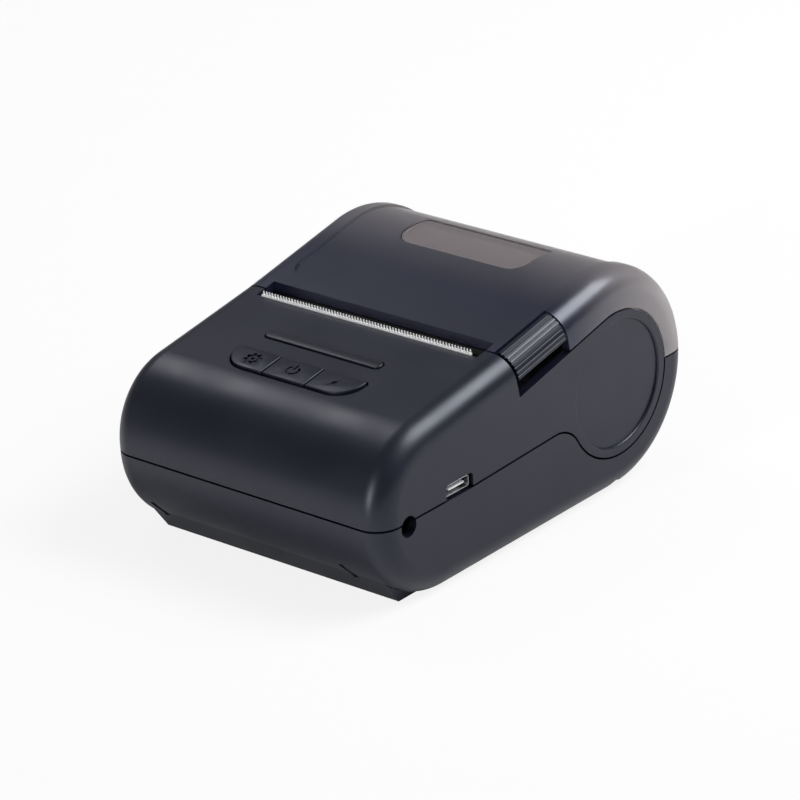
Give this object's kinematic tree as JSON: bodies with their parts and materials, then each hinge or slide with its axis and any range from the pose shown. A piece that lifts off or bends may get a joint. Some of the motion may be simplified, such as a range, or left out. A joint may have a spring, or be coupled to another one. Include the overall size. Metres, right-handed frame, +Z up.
{
  "type": "portable thermal printer",
  "caption": "Hand-held receipt printer with a hinged roll cover, side latch, sloping key pad, light strip, tear bar, driven platen and a strap hole.",
  "frame": {"origin": "middle of the base footprint, on the surface the printer stands on", "axes": "+Z up, the front with the keys faces -Y, +X to the right seen from the front, where latch and USB socket are"},
  "size_m": [0.073, 0.1008, 0.0485],
  "materials": {
    "shell": "satin",
    "cover": "gloss",
    "window": "gloss",
    "dark": "satin",
    "key": "satin",
    "rubber": "matte",
    "steel": "satin",
    "blade": "satin",
    "zinc": "satin",
    "alloy": "satin",
    "acetal": "satin",
    "board": "satin",
    "ceramic": "gloss",
    "cell": "satin",
    "lens": "gloss"
  },
  "bodies": {
    "case": {"lower_shell": "shell", "upper_housing": "shell", "battery_cover": "shell", "battery_pack": "cell", "main_board": "board", "radio_module": "zinc", "usb_socket": "steel", "strap_pin": "steel", "case_screw_front_left": "zinc", "case_screw_front_right": "zinc", "case_screw_rear_left": "zinc", "case_screw_rear_right": "zinc", "key_board": "board", "key_board_screw_left": "zinc", "key_board_screw_right": "zinc", "switch_settings": "zinc", "switch_power": "zinc", "switch_feed": "zinc", "status_led_left": "lens", "status_led_middle": "lens", "status_led_right": "lens", "light_strip": "lens", "mechanism_frame": "zinc", "print_head": "ceramic", "head_heat_sink": "alloy", "head_spring_left": "steel", "head_spring_right": "steel", "tear_bar": "blade", "stepper_motor": "zinc", "idler_stud": "steel", "paper_bin": "dark", "paper_sensor": "dark", "hinge_pin_left": "steel", "hinge_pin_right": "steel"},
    "cover": {"cover": "cover", "cover_window": "window", "platen_holder": "dark", "platen_bush_left": "acetal", "platen_bush_right": "acetal", "latch_pin": "steel", "latch_spring": "steel"},
    "latch": {"latch_lever": "dark"},
    "platen": {"platen_shaft": "steel", "platen_roller": "rubber", "platen_gear": "acetal"},
    "motor_rotor": {"motor_shaft": "steel", "motor_pinion": "acetal"},
    "idler": {"idler_gear": "acetal"},
    "settings_key": {"key_settings": "key"},
    "power_key": {"key_power": "key"},
    "feed_key": {"key_feed": "key"}
  },
  "joints": [
    {"name": "cover_hinge", "type": "hinge", "parent": "case", "child": "cover", "pos_m": [0, 0.0484, 0.0241], "axis": [-1, 0, 0], "range_deg": [0, 90]},
    {"name": "latch_swing", "type": "hinge", "parent": "cover", "child": "latch", "pos_m": [0.033, 0.0003, 0.04053], "axis": [0, -0.9799, -0.1994], "range_deg": [0, 7], "stiffness_Nm_per_rad": 0.05, "springref_deg": -2.86},
    {"name": "motor_spin", "type": "hinge", "parent": "case", "child": "motor_rotor", "pos_m": [-0.03195, -0.01498, 0.02364], "axis": [1, 0, 0], "continuous": true},
    {"name": "idler_spin", "type": "hinge", "parent": "case", "child": "idler", "pos_m": [-0.03195, -0.00595, 0.02491], "axis": [1, 0, 0], "continuous": true},
    {"name": "platen_spin", "type": "hinge", "parent": "cover", "child": "platen", "pos_m": [0, -0.0038, 0.035], "axis": [1, 0, 0], "continuous": true},
    {"name": "settings_press", "type": "slide", "parent": "case", "child": "settings_key", "axis": [0, 0.158, -0.9874], "range_m": [0, 0.0005], "stiffness_N_per_m": 150, "springref_m": -0.002},
    {"name": "power_press", "type": "slide", "parent": "case", "child": "power_key", "axis": [0, 0.158, -0.9874], "range_m": [0, 0.0005], "stiffness_N_per_m": 150, "springref_m": -0.002},
    {"name": "feed_press", "type": "slide", "parent": "case", "child": "feed_key", "axis": [0, 0.158, -0.9874], "range_m": [0, 0.0005], "stiffness_N_per_m": 150, "springref_m": -0.002}
  ],
  "couplings": [
    {"joint": "idler_spin", "follows": "platen_spin", "ratio": -0.7},
    {"joint": "motor_spin", "follows": "platen_spin", "ratio": 1.4}
  ]
}
